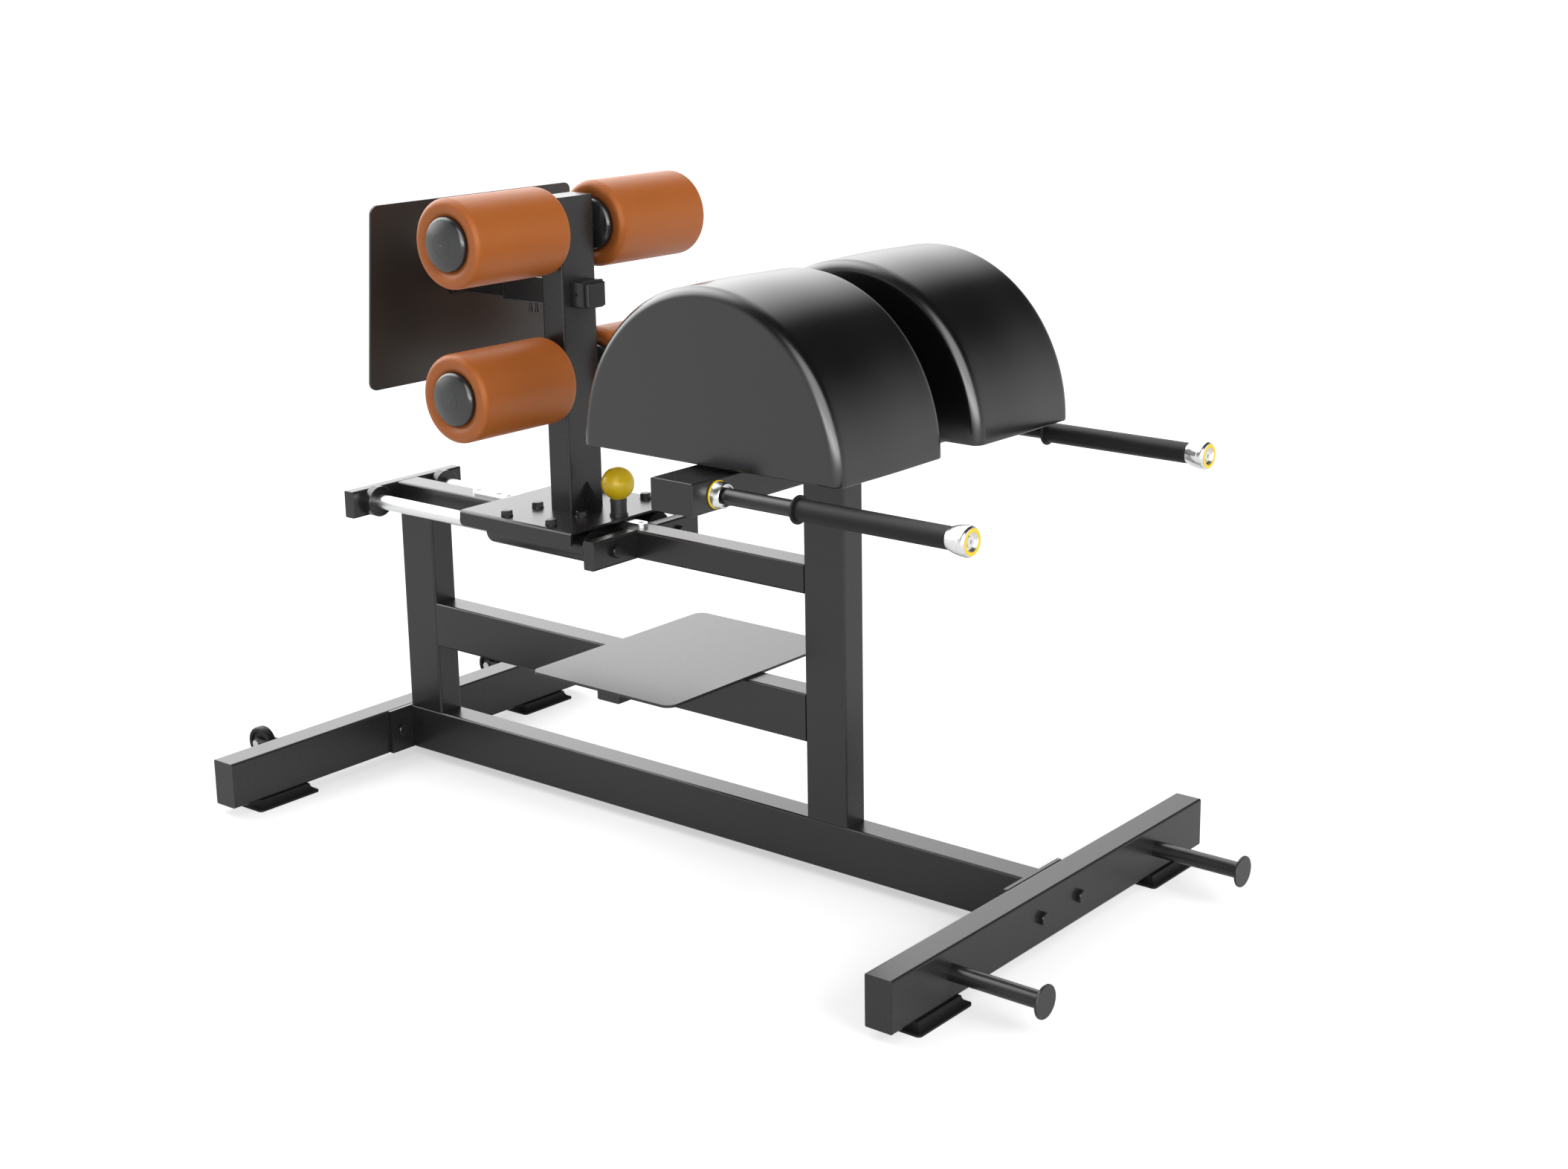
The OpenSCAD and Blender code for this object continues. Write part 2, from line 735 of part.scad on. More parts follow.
module handle_grips() {
  inner = handle_d / 2 + 0.05;
  ring_r = grip_d / 2 + 6;
  color(black) place() both_sides(handle_y) translate([grip_x0, 0, handle_z]) rotate([0, 90, 0]) {
    rotate_extrude() translate([(inner + ring_r) / 2, 2.5]) round_rect(ring_r - inner, 5, 2);
    translate([0, 0, 2.5]) difference() {
      cylinder(h = grip_len - 2.5, d = grip_d);
      translate([0, 0, -1]) cylinder(h = grip_len, r = inner);
    }
  }
}

// Transport wheels on forks behind the rear crossbar.
wheel_axle_d = 12;

module wheel(s) {
  bore = wheel_axle_d / 2 + run_clear;
  color(black) place() translate([-wheel_back, s * wheel_y, wheel_z]) rotate([90, 0, 0]) rotate_extrude() {
    translate([bore, -11]) square([14 - bore, 22]);
    translate([13, -6]) square([wheel_d / 2 - 20, 12]);
    translate([wheel_d / 2 - 5.5, 0]) round_rect(11, 22, 5);
  }
}

module wheel_near() {
  wheel(-1);
}

module wheel_far() {
  wheel(1);
}

module fork_ear() {
  rotate([90, 0, 0]) linear_extrude(4, center = true) difference() {
    union() {
      translate([-wheel_back, wheel_z]) circle(12);
      translate([-wheel_back, wheel_z - 12]) square([wheel_back, 24]);
    }
    translate([-wheel_back, wheel_z]) circle(wheel_axle_d / 2 + 0.1);
  }
}

module wheel_forks() {
  color(paint) place() for (s = [-1, 1], k = [-14, 14]) translate([0, s * wheel_y + k, 0]) fork_ear();
}

module wheel_axles() {
  color(zinc) place() both_sides(wheel_y) translate([-wheel_back, 0, wheel_z]) rotate([90, 0, 0]) {
    cylinder(h = 37, d = wheel_axle_d, center = true);
    for (k = [-1, 1]) translate([0, 0, k * 18]) cylinder(h = 4, d = 18, center = true);
  }
}

// Carriage plate: flat top with a folded skirt on each side.
module fold_outline() {
  r = 8;
  difference() {
    translate([-plate_half, plate_top_z - 60]) square([2 * plate_half, 60]);
    translate([-plate_half + plate_t, plate_top_z - 61]) square([2 * (plate_half - plate_t), 61 - plate_t]);
    for (s = [-1, 1]) translate([s * plate_half, plate_top_z]) fold_corner(s, r);
  }
}

module fold_corner(s, r) {
  difference() {
    translate([s > 0 ? -r : -1, -r]) square([r + 1, r + 1]);
    translate([-s * r, -r]) circle(r);
  }
}

module carriage_plate() {
  len = plate_back + plate_front;
  mid = carriage_x + (plate_front - plate_back) / 2;
  color(paint) place() difference() {
    intersection() {
      translate([carriage_x - plate_back, 0, 0]) rotate([90, 0, 90]) linear_extrude(len) fold_outline();
      translate([mid, 0, plate_top_z - skirt_h + 50]) rotate([90, 0, 0])
        linear_extrude(4 * plate_half, center = true) round_rect(len, 100, 10);
    }
    for (p = saddle_bolt_xy)
      translate([p[0], p[1], plate_top_z - 20]) cylinder(h = 30, d = saddle_bolt_d + bolt_gap);
    translate([pin_x, 0, plate_top_z - 20]) cylinder(h = 30, r = pin_d / 2 + run_clear);
  }
}

// Bearing housings, each with two saddles under the plate.
saddle_x = [-64, 64];
saddle_bolt_xy = [for (s = [-1, 1], k = [-44, 44], x = saddle_x) [carriage_x + x, s * (rod_y + k)]];

module housing() {
  r = housing_d / 2;
  bore = rod_d / 2 + bush_t;
  len = housing_len;
  rotate([0, 90, 0]) rotate_extrude()
    polygon([[bore, 0], [r - 1.2, 0], [r, 1.2], [r, len - 1.2], [r - 1.2, len], [bore, len]]);
}

module bearing_housings() {
  color(paint) place() difference() {
    both_sides(rod_y) {
      translate([carriage_x - housing_len / 2, 0, rod_z]) housing();
      for (x = saddle_x) translate([carriage_x + x, 0, plate_top_z - plate_t - saddle_t])
        linear_extrude(saddle_t) round_rect(48, 116, 4);
    }
    for (p = saddle_bolt_xy)
      translate([p[0], p[1], plate_top_z - 60]) cylinder(h = 80, d = saddle_bolt_d + bolt_gap);
  }
}

module rod_bushes() {
  color(black) place() both_sides(rod_y) for (x = [-1, 1]) {
    translate([carriage_x + x * (housing_len / 2 - 31) - 30, 0, rod_z])
      ring_x(60, rod_d + 2 * bush_t - eps, rod_d + 2 * run_clear);
  }
}

module saddle_bolts() {
  grip = plate_t + saddle_t;
  washer_t = 2;
  nut_h = 11;
  color(black) place() for (p = saddle_bolt_xy) translate([p[0], p[1], plate_top_z]) {
    cylinder(h = washer_t, d = saddle_bolt_af / cos(30) + 1.6);
    translate([0, 0, washer_t]) bolt_z(saddle_bolt_af, 10, saddle_bolt_d, washer_t + grip + nut_h + 3);
    translate([0, 0, -grip - nut_h]) hex_z(saddle_bolt_af, nut_h);
  }
}

// Column with its front gusset, bored for the axles and cut for the sleeve.
module column() {
  h = column_top_z - cap_t - plate_top_z;
  color(paint) place() translate([carriage_x, 0, plate_top_z]) {
    difference() {
      tube_z(h, column_x, column_y, tube_r, 4);
      for (z = [upper_axle_z, lower_axle_z]) {
        translate([0, 0, z - plate_top_z]) rotate([90, 0, 0]) cylinder(h = 200, d = axle_d, center = true);
      }
      translate([-60, 0, foot_tube_z - plate_top_z]) rotate([90, 0, 90])
        linear_extrude(120) round_rect(sleeve_w, sleeve_w, 4);
    }
    translate([column_x / 2, 0, 0]) rotate([90, 0, 0]) linear_extrude(6, center = true)
      polygon([[-eps, 0], [38, 0], [38, 8], [-eps, 58]]);
  }
}

module column_cap() {
  color(dark_paint) place() translate([carriage_x, 0, column_top_z - cap_t]) cap_plate(column_x, column_y);
}

// Square sleeve through the column, polymer liners and clamp screws.
module foot_sleeve() {
  color(paint) place() difference() {
    translate([sleeve_x0, 0, foot_tube_z]) tube_x(sleeve_x1 - sleeve_x0, sleeve_w, sleeve_w, 4, 3);
    translate([carriage_x + 49, 0, foot_tube_z]) rotate([90, 0, 0]) cylinder(h = 100, d = 7, center = true);
    for (x = clamp_x) translate([x, 0, foot_tube_z - sleeve_w]) cylinder(h = sleeve_w, d = clamp_d);
  }
}

clamp_mid = sleeve_x0 + 56.8;
clamp_x = [clamp_mid - 8.8, clamp_mid + 8.8];
clamp_d = 6;

module sleeve_liners() {
  side = sleeve_w - 6.1;
  wall = (side - foot_tube_w) / 2 - 0.1;
  long = 36;
  color(black) place() for (s = [0, 1]) translate([sleeve_x0, 0, foot_tube_z])
    translate([s * (sleeve_x1 - sleeve_x0), 0, 0]) mirror([s, 0, 0]) {
      translate([-liner_flange_t, 0, 0]) tube_x(long, side, side, 2, wall);
      rotate([90, 0, -90]) linear_extrude(liner_flange_t)
        tube_section(sleeve_w + 2, sleeve_w + 2, 4, sleeve_w / 2 + 1 - side / 2 + wall / 2);
    }
}

module clamp_screws() {
  hang = 24.8;
  color(black) place() for (x = clamp_x) translate([x, 0, foot_tube_z - sleeve_w / 2 - hang]) {
    cylinder(h = hang + sleeve_w / 2 - foot_tube_w / 2 - 0.2, d = clamp_d - eps);
    cylinder(h = 6, d = clamp_d + 3);
  }
}

// Foot plate with a welded flange, its tube and the stop plate on the tube.
module lean() {
  translate([foot_plate_x, 0, foot_tube_z]) rotate([0, foot_plate_lean, 0]) children();
}

module foot_plate() {
  drop = -9.5;
  color(dark_paint) place() lean() difference() {
    translate([-foot_plate_t, 0, drop]) rotate([90, 0, 90])
      linear_extrude(foot_plate_t) round_rect(foot_plate_w, foot_plate_h, 18);
    plate_bolt_holes();
  }
}

// Holes of the four bolts that join the foot plate to the flange of its tube.
plate_bolt_y = 52;
plate_bolt_z = 14;
plate_bolt_yz = [for (s = [-1, 1], k = [-plate_bolt_z, plate_bolt_z]) [s * plate_bolt_y, k]];
plate_bolt_d = 8;
tube_flange_w = 130;
tube_flange_h = 50;
tube_flange_t = 5;

module plate_bolt_holes() {
  for (p = plate_bolt_yz) translate([-foot_tube_w / 2, p[0], p[1]])
    bar_x(foot_tube_w, plate_bolt_d + bolt_gap);
}

module foot_plate_tube() {
  len = stop_x - foot_plate_x;
  color(paint) place() difference() {
    union() {
      difference() {
        translate([foot_plate_x - 10, 0, foot_tube_z]) tube_x(len + 10, foot_tube_w, foot_tube_w, 4, 3);
        lean() translate([-foot_tube_w, -foot_tube_w, -foot_tube_w])
          cube([foot_tube_w + 1, 2 * foot_tube_w, 2 * foot_tube_w]);
      }
      lean() rotate([90, 0, 90]) linear_extrude(tube_flange_t) difference() {
        round_rect(tube_flange_w, tube_flange_h, 6);
        square([foot_tube_w - 8, foot_tube_w - 8], center = true);
      }
    }
    lean() plate_bolt_holes();
  }
}

module foot_plate_bolts() {
  color(black) place() lean() for (p = plate_bolt_yz) {
    translate([-foot_plate_t, p[0], p[1]]) rotate([0, 90, 0]) {
      translate([0, 0, -4]) cylinder(h = 4, d = 14);
      translate([0, 0, -2]) cylinder(h = foot_plate_t + tube_flange_t + 10, d = plate_bolt_d);
      translate([0, 0, foot_plate_t + tube_flange_t]) hex_z(13, 6);
    }
  }
}

module foot_tube_stop() {
  color(black) place() translate([stop_x, 0, foot_tube_z]) rotate([90, 0, 90]) {
    linear_extrude(6) round_rect(50.6, 50, 4);
    intersection() {
      linear_extrude(10) round_rect(50.6, 50, 4);
      rotate([90, 0, 0]) linear_extrude(80, center = true) translate([0, 5]) round_rect(50.6, 10, 4);
      rotate([90, 0, 90]) linear_extrude(80, center = true) translate([0, 5]) round_rect(50, 10, 4);
    }
    translate([0, 0, -12]) linear_extrude(12.5) round_rect(foot_tube_w - 6.2, foot_tube_w - 6.2, 1);
  }
}

// Plunger: barrel on the plate, coil spring, pin with collar and ball knob.
module plunger_barrel() {
  color(black) place() translate([pin_x, 0, plate_top_z]) difference() {
    union() {
      cylinder(h = barrel_h - 1, d = 33.4);
      translate([0, 0, barrel_h - 8]) cylinder(h = 8, d = 35);
      cylinder(h = 5, d = 38);
    }
    translate([0, 0, -1]) cylinder(h = barrel_h - 4, d = 26);
    cylinder(h = barrel_h + 1, r = pin_d / 2 + run_clear);
  }
}

// Coil spring between the collar of the pin and the roof of the barrel.
spring_r = 9;
spring_wire = 1.1;
spring_turns = 6;

module plunger_spring() {
  z0 = plate_top_z + pin_collar_h + spring_wire + 0.2;
  rise = plate_top_z + barrel_h - 5 - spring_wire - 0.2 - z0;
  steps = spring_turns * 16;
  rings = [for (i = [0 : steps]) let (a = 360 * i / 16, z = z0 + rise * i / steps)
           [for (k = [0 : 5]) let (r = spring_r + spring_wire * cos(60 * k))
            [r * cos(a), r * sin(a), z + spring_wire * sin(60 * k)]]];
  end = 360 * spring_turns;
  color(zinc) place() translate([pin_x, 0, 0])
    skin(rings, [spring_r, 0, z0], [spring_r * cos(end), spring_r * sin(end), z0 + rise]);
}

module plunger_pin() {
  color(zinc) place() translate([pin_x, 0, 0]) {
    translate([0, 0, rail_top_z + 1.2]) cylinder(h = knob_z + 20 - rail_top_z, d = pin_d);
    translate([0, 0, plate_top_z]) cylinder(h = pin_collar_h, d = 22);
  }
}

module ball_knob() {
  flat = 29;
  color(yellow) place() translate([pin_x, 0, knob_z]) rotate_extrude() difference() {
    union() {
      intersection() {
        circle(d = knob_d, $fn = 128);
        translate([0, -flat]) square([knob_d, flat + knob_d]);
      }
      translate([0, -knob_neck]) square([14.2, 12]);
    }
    translate([-knob_d, -knob_d]) square([knob_d, 2 * knob_d]);
    translate([-1, -knob_d]) square([1 + pin_d / 2 + 0.03, knob_d + 22]);
  }
}

// Roller axles through the column, with collars beside it and rings at the ends.
axle_half = roller_out_y - 13.5;

module roller_axles() {
  color(zinc) place() for (z = [upper_axle_z, lower_axle_z]) {
    translate([carriage_x, 0, z]) rotate([90, 0, 0]) cylinder(h = 2 * axle_half, d = axle_d, center = true);
  }
}

axle_collar_d = 38;
lock_ring_d = 34;
lock_ring_t = 2.5;
lock_ring_in = 22.5;

module axle_collars() {
  gap = roller_in_y - dome_h + 3.5 - column_y / 2 - 0.6;
  color(black) place() for (z = [upper_axle_z, lower_axle_z], s = [-1, 1]) {
    translate([carriage_x, s * (column_y / 2 + gap / 2 + 0.1), z]) rotate([90, 0, 0])
      difference() {
        cylinder(h = gap, d = axle_collar_d, center = true);
        cylinder(h = gap + 2, d = axle_d + eps, center = true);
      }
    translate([carriage_x, s * (roller_out_y - lock_ring_in), z]) rotate([90, 0, 0])
      difference() {
        cylinder(h = lock_ring_t, d = lock_ring_d, center = true);
        cylinder(h = lock_ring_t + 2, d = axle_d + eps, center = true);
      }
  }
}

// Roller core: tube with a domed hub in each end; the hubs run on the axle.
core_in = 58;
core_out = 62;

// Half outline of a dome over y = 0: a shallow cap that runs smoothly into a tight edge.
module dome_outline(h) {
  edge = 9;
  a = dome_d / 2 - edge;
  big = (a * a + h * h - edge * edge) / (2 * (h - edge));
  far = 1.1 * big / (big - edge);
  translate([a, 0]) circle(edge);
  square([a, edge * 0.6]);
  intersection() {
    translate([0, h - big]) circle(big, $fn = 512);
    polygon([[0, 0], [0, 1.1 * big + h - big], [a * far, h - big + (big - h) * far], [a, 0]]);
  }
}

hub_skirt = 4;
hub_sink = 3.5;
hub_deep = 60;

module hub_solid() {
  rim = dome_d / 2;
  intersection() {
    dome_outline(dome_h);
    translate([0, -2]) square([rim, dome_h + 2]);
  }
  translate([0, -hub_skirt]) square([rim, hub_skirt]);
  translate([0, hub_sink - hub_deep]) square([core_in / 2 - 0.1, hub_deep - hub_sink]);
}

module hub_outer() {
  bore = axle_d / 2 + run_clear;
  wide = core_in / 2 - 6;
  floor = hub_sink - 25;
  translate([0, 0, -hub_sink]) rotate_extrude() difference() {
    hub_solid();
    translate([-1, -hub_deep]) square([bore + 1, hub_deep]);
    translate([-1, floor]) square([wide + 1, dome_h - 4 - floor]);
    translate([wide - 1, dome_h - 1.8]) square([0.8, 4]);
  }
}

module hub_inner() {
  bore = axle_d / 2 + run_clear;
  translate([0, 0, -hub_sink]) rotate_extrude() difference() {
    hub_solid();
    translate([-1, -hub_deep]) square([bore + 1, 2 * hub_deep]);
  }
}

module along_y(s, z) {
  place() translate([carriage_x, 0, z]) rotate([-s * 90, 0, 0]) children();
}

module roller_core(s, z) {
  color(black) along_y(s, z) {
    translate([0, 0, roller_out_y]) hub_outer();
    translate([0, 0, roller_in_y]) mirror([0, 0, 1]) hub_inner();
    translate([0, 0, roller_in_y + 8]) difference() {
      cylinder(h = roller_out_y - roller_in_y - 16, d = core_out);
      translate([0, 0, -1]) cylinder(h = roller_out_y, d = core_in);
    }
  }
}

// Upholstered cover: round rims, and ends that fall away to the domes.
module cover_end() {
  r = roller_d / 2;
  edge = 14;
  slope = 30;
  translate([r - edge, -edge]) circle(edge);
  intersection() {
    translate([r - edge, -slope]) circle(slope, $fn = 256);
    translate([dome_d / 2 + 0.5, -edge]) square([r - edge - dome_d / 2 - 0.5, edge + 1]);
  }
}

module roller_cover(s, z) {
  long = roller_out_y - roller_in_y;
  inner = core_out / 2 + 0.2;
  color(leather) along_y(s, z) translate([0, 0, roller_in_y]) rotate_extrude() {
    translate([0, long]) cover_end();
    mirror([0, 1]) cover_end();
    translate([inner, 8]) square([roller_d / 2 - 14 - inner, long - 16]);
    translate([inner, 14]) square([roller_d / 2 - inner, long - 28]);
  }
}

module roller_core_un() {
  roller_core(-1, upper_axle_z);
}

module roller_core_uf() {
  roller_core(1, upper_axle_z);
}

module roller_core_ln() {
  roller_core(-1, lower_axle_z);
}

module roller_core_lf() {
  roller_core(1, lower_axle_z);
}

module roller_cover_un() {
  roller_cover(-1, upper_axle_z);
}

module roller_cover_uf() {
  roller_cover(1, upper_axle_z);
}

module roller_cover_ln() {
  roller_cover(-1, lower_axle_z);
}

module roller_cover_lf() {
  roller_cover(1, lower_axle_z);
}

rear_crossbar();
front_crossbar();
tube_end_caps();
feet();
frame_screws();
base_rail();
rail_flanges();
frame_bolts();
rear_post();
front_post();
mid_rail();
upper_rail();
rear_rod_beam();
front_rod_beams();
guide_rods();
rod_collars();
locating_strip();
storage_pegs();
step_plate();
step_supports();
pad_cross_tube();
pad_boards();
pad_bolts();
pad_near();
pad_far();
handle_bars();
yellow_rings();
handle_fittings();
handle_grips();
wheel_near();
wheel_far();
wheel_forks();
wheel_axles();
carriage_plate();
bearing_housings();
rod_bushes();
saddle_bolts();
column();
column_cap();
foot_sleeve();
sleeve_liners();
clamp_screws();
foot_plate();
foot_plate_tube();
foot_plate_bolts();
foot_tube_stop();
plunger_barrel();
plunger_spring();
plunger_pin();
ball_knob();
roller_axles();
axle_collars();
roller_core_un();
roller_core_uf();
roller_core_ln();
roller_core_lf();
roller_cover_un();
roller_cover_uf();
roller_cover_ln();
roller_cover_lf();
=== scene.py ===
import math

import bpy
import numpy as np
from mathutils import Matrix, Vector


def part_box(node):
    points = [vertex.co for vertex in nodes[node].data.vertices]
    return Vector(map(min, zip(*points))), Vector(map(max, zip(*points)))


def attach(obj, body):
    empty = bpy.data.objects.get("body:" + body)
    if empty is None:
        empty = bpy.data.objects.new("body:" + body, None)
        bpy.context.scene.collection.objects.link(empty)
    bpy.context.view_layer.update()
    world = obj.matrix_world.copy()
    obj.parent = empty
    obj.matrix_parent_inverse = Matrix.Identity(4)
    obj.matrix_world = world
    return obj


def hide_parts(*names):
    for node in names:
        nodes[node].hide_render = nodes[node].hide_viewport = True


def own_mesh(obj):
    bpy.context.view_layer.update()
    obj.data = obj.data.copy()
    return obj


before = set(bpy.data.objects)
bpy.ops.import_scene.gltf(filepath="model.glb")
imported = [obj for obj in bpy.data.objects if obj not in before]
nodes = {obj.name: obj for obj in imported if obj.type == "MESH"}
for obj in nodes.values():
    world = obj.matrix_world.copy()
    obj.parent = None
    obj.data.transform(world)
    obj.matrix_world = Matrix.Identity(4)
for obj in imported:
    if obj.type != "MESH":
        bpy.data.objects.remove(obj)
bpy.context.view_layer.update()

# Camera: it stands at the near front corner, a little above the pads, and isn't rolled. The
# photograph was cropped off the axis of its lens, so the camera has a small shift.
view_azimuth = math.radians(36.1885)
view_elevation = math.radians(14.3326)
eye = Vector((3.02137, -3.36654, 1.84549))
backward = Vector((math.sin(view_azimuth) * math.cos(view_elevation),
                   -math.cos(view_azimuth) * math.cos(view_elevation),
                   math.sin(view_elevation)))
rightward = Vector((0, 0, 1)).cross(backward).normalized()
upward = backward.cross(rightward)
lens = bpy.data.cameras.new("photo_camera")
lens.sensor_fit = "HORIZONTAL"
lens.sensor_width = 36
lens.lens = 53.2
lens.shift_x = -0.0939
lens.shift_y = -0.0452
lens.clip_end = 500
camera = bpy.data.objects.new("photo_camera", lens)
bpy.context.scene.collection.objects.link(camera)
turn = Matrix((rightward, upward, backward)).transposed().to_4x4()
camera.matrix_world = Matrix.Translation(eye) @ turn
bpy.context.scene.camera = camera
bpy.context.scene.view_settings.view_transform = "Standard"


# Studio: the world is white to the camera and even to matt surfaces. Gloss alone mirrors its pale
# walls, its dark ceiling and its softboxes, which are two high ones at the rear of the machine, a
# low band on the side that faces the camera and a broad one above the band.
def shader_step(tree, kind, **values):
    """Adds a shader node. A value that is a socket is linked to the input of that name, or of that
    number after an i. Any other value is set."""
    step = tree.nodes.new(kind)
    for name, value in values.items():
        if hasattr(step, name) and name not in step.inputs:
            setattr(step, name, value)
            continue
        key = int(name[1:]) if name[0] == "i" and name[1:].isdigit() else name.replace("_", " ")
        if isinstance(value, bpy.types.NodeSocket):
            tree.links.new(value, step.inputs[key])
        else:
            step.inputs[key].default_value = value
    return step


def heading(azimuth, elevation):
    """Unit vector towards a place in the studio: azimuth turns from -Y towards +X, in degrees."""
    a, e = math.radians(azimuth), math.radians(elevation)
    return Vector((math.sin(a) * math.cos(e), -math.cos(a) * math.cos(e), math.sin(e)))


matt_level = 0.4
wall_top, ceiling_start = 0.08, 0.52
wall_level, ceiling_level = 0.82, 0.04
world = bpy.data.worlds.new("studio")
bpy.context.scene.world = world
world.use_nodes = True
sky = world.node_tree
sky.nodes.clear()
sight = shader_step(sky, "ShaderNodeLightPath")
bearing = shader_step(sky, "ShaderNodeTexCoord")
height = shader_step(sky, "ShaderNodeSeparateXYZ", Vector=bearing.outputs["Generated"])
mirrored = shader_step(sky, "ShaderNodeMapRange", Value=height.outputs["Z"],
                       From_Min=wall_top, From_Max=ceiling_start,
                       To_Min=wall_level, To_Max=ceiling_level)

# Softboxes: azimuth and elevation of the middle, the angles from there to the dark rim and to the
# full core, in degrees, and the strength.
for azimuth, elevation, rim, core, strength in (
        (252, 36, 55, 12, 2.9),
        (284, 34, 40, 12, 3.4),
        (14, -5, 22, 6, 5.5),
        (44, -5, 22, 6, 5.5),
        (74, -5, 22, 6, 5.0),
        (44, 20, 42, 20, 3.4)):
    nearness = shader_step(sky, "ShaderNodeVectorMath", operation="DOT_PRODUCT",
                           i0=bearing.outputs["Generated"], i1=heading(azimuth, elevation))
    glow = shader_step(sky, "ShaderNodeMapRange", Value=nearness.outputs["Value"],
                       From_Min=math.cos(math.radians(rim)), From_Max=math.cos(math.radians(core)),
                       To_Min=0.0, To_Max=strength, interpolation_type="SMOOTHSTEP")
    mirrored = shader_step(sky, "ShaderNodeMath", operation="ADD",
                           i0=mirrored.outputs[0], i1=glow.outputs[0])
level = shader_step(sky, "ShaderNodeMix", data_type="FLOAT", i0=sight.outputs["Is Glossy Ray"],
                    i2=matt_level, i3=mirrored.outputs[0])
seen = shader_step(sky, "ShaderNodeMath", operation="MAXIMUM", i0=sight.outputs["Is Camera Ray"],
                   i1=sight.outputs["Is Transmission Ray"])
level = shader_step(sky, "ShaderNodeMix", data_type="FLOAT", i0=seen.outputs[0],
                    i2=level.outputs[0], i3=1.0)
white = shader_step(sky, "ShaderNodeBackground", Color=(1, 1, 1, 1), Strength=level.outputs[0])
shader_step(sky, "ShaderNodeOutputWorld", Surface=white.outputs[0])

# Lamps: azimuth and elevation that the light comes from, its strength and its width in degrees.
# They are large and soft, and gloss doesn't show them.
for name, azimuth, elevation, energy, width in (
        ("left_lamp", 262, 45, 1.2, 60),
        ("right_lamp", 84, 26, 1.6, 40)):
    lamp = bpy.data.lights.new(name, "SUN")
    lamp.energy = energy
    lamp.angle = math.radians(width)
    lamp_object = bpy.data.objects.new(name, lamp)
    towards = -heading(azimuth, elevation)
    lamp_object.rotation_euler = towards.to_track_quat("-Z", "Y").to_euler()
    lamp_object.visible_glossy = False
    bpy.context.scene.collection.objects.link(lamp_object)

# Floor: matt and near white. It is lifted to white for the camera, so that only the shadow under
# the machine shows, and a little for gloss.
floor_reach = 200
floor_grey = 0.9
lift_for_camera, lift_for_gloss = 0.5, 0.12
floor_mesh = bpy.data.meshes.new("floor")
floor_mesh.from_pydata([(-floor_reach, -floor_reach, 0), (floor_reach, -floor_reach, 0),
                        (floor_reach, floor_reach, 0), (-floor_reach, floor_reach, 0)],
                       [], [(0, 1, 2, 3)])
floor = bpy.data.objects.new("floor", floor_mesh)
bpy.context.scene.collection.objects.link(floor)
floor_paint = bpy.data.materials.new("floor_paint")
floor_paint.use_nodes = True
floor_tree = floor_paint.node_tree
floor_tree.nodes.clear()
floor_diffuse = shader_step(floor_tree, "ShaderNodeBsdfDiffuse",
                            Color=(floor_grey, floor_grey, floor_grey, 1))
floor_sight = shader_step(floor_tree, "ShaderNodeLightPath")
floor_lift = shader_step(floor_tree, "ShaderNodeMapRange",
                         Value=floor_sight.outputs["Is Camera Ray"],
                         To_Min=0.0, To_Max=lift_for_camera)
floor_level = shader_step(floor_tree, "ShaderNodeMath", operation="MULTIPLY_ADD",
                          i0=floor_sight.outputs["Is Glossy Ray"], i1=lift_for_gloss,
                          i2=floor_lift.outputs[0])
floor_glow = shader_step(floor_tree, "ShaderNodeEmission", Color=(1, 1, 1, 1),
                         Strength=floor_level.outputs[0])
floor_skin = shader_step(floor_tree, "ShaderNodeAddShader",
                         i0=floor_diffuse.outputs[0], i1=floor_glow.outputs[0])
shader_step(floor_tree, "ShaderNodeOutputMaterial", Surface=floor_skin.outputs[0])
floor_mesh.materials.append(floor_paint)


# Welded frame: steel tubes, 60 by 100 mm for the main ones, with plates that close their open
# ends. They are welded together, and powder coated in satin charcoal with a fine orange peel.
def finish(name, colour, roughness, spread=0.06, grain=900.0, bump=0.02, mottle=0.3, **settings):
    """A coated or moulded surface. Its shade is a mix of a broad and a fine noise, with mottle the
    share of the fine one, and runs from spread below the colour to spread above it. The fine noise
    has grain cells to the metre. It also changes the roughness a little, and lifts the surface,
    with bump as the strength. The settings go to the shader's own sockets."""
    broad_grain = 7.0
    noise_low, noise_high = 0.3, 0.7
    smoother, rougher = 0.92, 1.08
    relief_height = 0.001
    material = bpy.data.materials.new(name)
    material.use_nodes = True
    tree = material.node_tree
    tree.nodes.clear()
    place = shader_step(tree, "ShaderNodeTexCoord").outputs["Object"]
    broad = shader_step(tree, "ShaderNodeTexNoise", Vector=place, Scale=broad_grain, Detail=3.0)
    fine = shader_step(tree, "ShaderNodeTexNoise", Vector=place, Scale=grain, Detail=2.0)
    low = tuple(c * (1 - spread) for c in colour) + (1,)
    high = tuple(c * (1 + spread) for c in colour) + (1,)
    shade = shader_step(tree, "ShaderNodeMix", data_type="FLOAT", i0=mottle,
                        i2=broad.outputs[0], i3=fine.outputs[0])
    tone = shader_step(tree, "ShaderNodeMix", data_type="RGBA", Factor=shade.outputs[0],
                       i6=low, i7=high)
    satin = shader_step(tree, "ShaderNodeMapRange", Value=fine.outputs[0],
                        From_Min=noise_low, From_Max=noise_high,
                        To_Min=roughness * smoother, To_Max=roughness * rougher)
    relief = shader_step(tree, "ShaderNodeBump", Height=fine.outputs[0], Strength=bump,
                         Distance=relief_height)
    surface = shader_step(tree, "ShaderNodeBsdfPrincipled", Base_Color=tone.outputs[2],
                          Roughness=satin.outputs[0], Normal=relief.outputs[0], **settings)
    shader_step(tree, "ShaderNodeOutputMaterial", Surface=surface.outputs[0])
    return material


